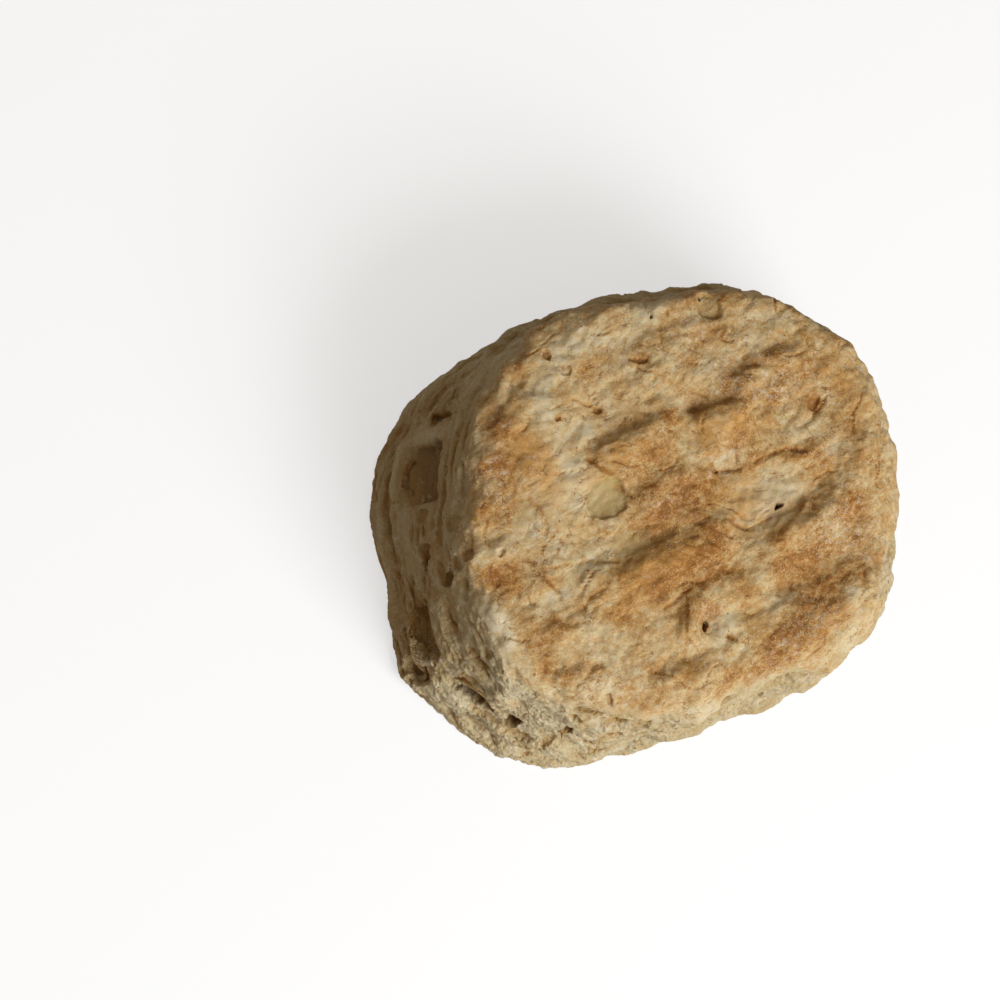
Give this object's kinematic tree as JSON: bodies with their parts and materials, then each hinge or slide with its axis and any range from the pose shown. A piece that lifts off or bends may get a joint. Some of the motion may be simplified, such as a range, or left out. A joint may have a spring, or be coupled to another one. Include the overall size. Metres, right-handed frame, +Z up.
{
  "type": "tea biscuit",
  "caption": "Tall whole grain tea biscuit: slightly oval, with a browned, folded crown over a pale torn side of flaky dough leaves, flat underneath",
  "frame": {"origin": "on the flat underside, below the middle of the biscuit's bounding box", "axes": "+Z up out of the browned crown, +Y along the longer way across, +X along the shorter way across; the most torn stretch of the side faces -Y"},
  "size_m": [0.0712, 0.086, 0.0336],
  "materials": {
    "baked_dough": "dry matt crust, browned on the crown and pale crumb round the side, with a dusting of flour"
  },
  "bodies": {
    "root": {"biscuit": "baked_dough"}
  },
  "joints": []
}
